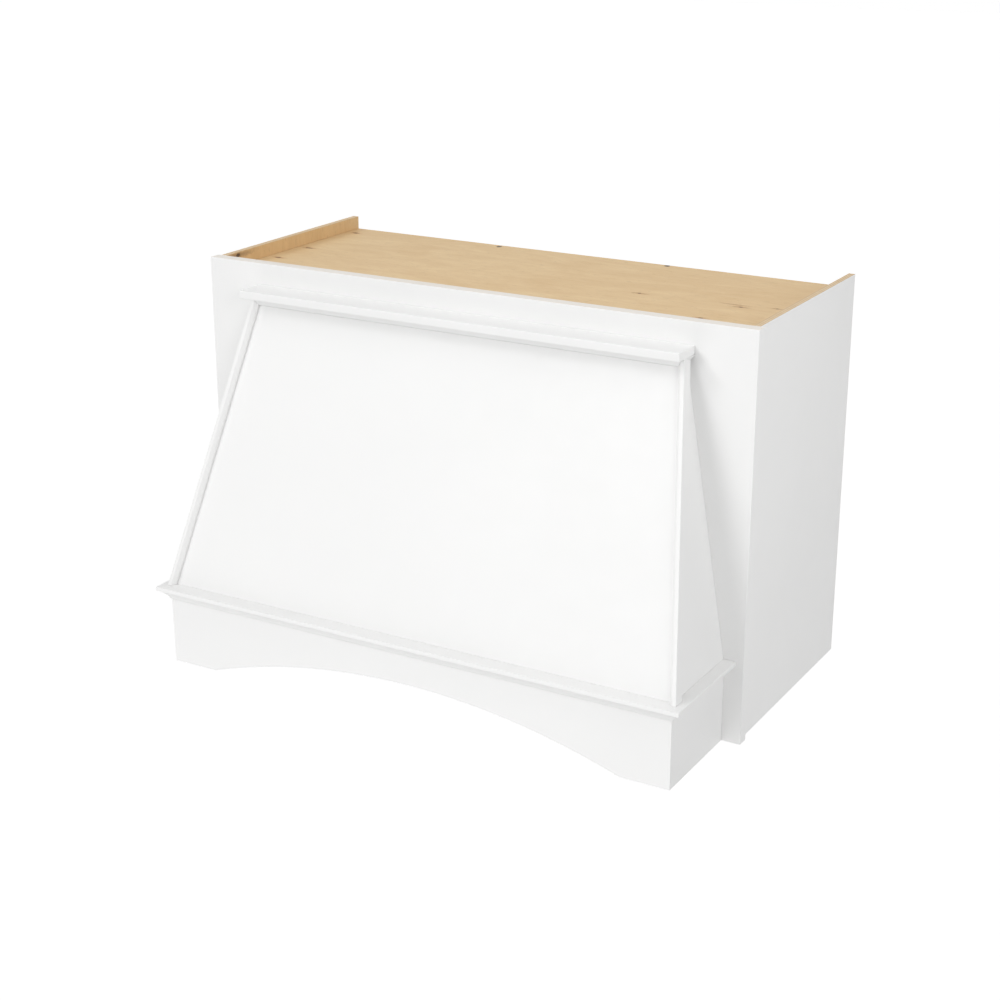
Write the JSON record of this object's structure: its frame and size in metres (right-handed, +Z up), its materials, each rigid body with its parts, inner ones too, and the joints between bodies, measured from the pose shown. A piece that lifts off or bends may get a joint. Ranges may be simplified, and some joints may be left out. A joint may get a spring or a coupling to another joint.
{
  "type": "wooden range hood cover",
  "caption": "Wall-hung wooden range hood cover: cabinet box and face frame with a flared, sloping canopy, recessed front panel, mitred cove moulding and arched valance.",
  "frame": {"origin": "middle of the upper hanging rail's back face, on the wall", "axes": "+Y points into the wall, -Y to the kitchen, +Z up; X runs along the wall and the cover is mirrored about x = 0"},
  "size_m": [0.9144, 0.5745, 0.6095],
  "materials": {
    "painted_wood": "white satin paint on wood",
    "maple_veneer": "bare light maple veneer, long grain across the width",
    "raw_wood": "bare sawn softwood",
    "zinc_steel": "zinc-plated steel"
  },
  "bodies": {
    "root": {"left_side_panel": "painted_wood", "right_side_panel": "painted_wood", "top_panel": "maple_veneer", "upper_hanging_rail": "raw_wood", "lower_hanging_rail": "raw_wood", "frame_left_stile": "painted_wood", "frame_right_stile": "painted_wood", "frame_top_rail": "painted_wood", "valance_front": "painted_wood", "valance_left_side": "painted_wood", "valance_right_side": "painted_wood", "front_moulding": "painted_wood", "left_return_moulding": "painted_wood", "right_return_moulding": "painted_wood", "canopy_front_panel": "painted_wood", "canopy_left_side": "painted_wood", "canopy_right_side": "painted_wood", "canopy_left_trim": "painted_wood", "canopy_right_trim": "painted_wood", "canopy_top_trim": "painted_wood", "top_cap": "painted_wood", "canopy_left_cleat": "raw_wood", "canopy_right_cleat": "raw_wood", "valance_left_cleat": "raw_wood", "valance_right_cleat": "raw_wood", "valance_left_block": "raw_wood", "valance_right_block": "raw_wood", "left_insert_ledger": "raw_wood", "right_insert_ledger": "raw_wood", "left_ledger_screw_1": "zinc_steel", "left_ledger_screw_2": "zinc_steel", "left_ledger_screw_3": "zinc_steel", "right_ledger_screw_1": "zinc_steel", "right_ledger_screw_2": "zinc_steel", "right_ledger_screw_3": "zinc_steel"}
  },
  "joints": []
}
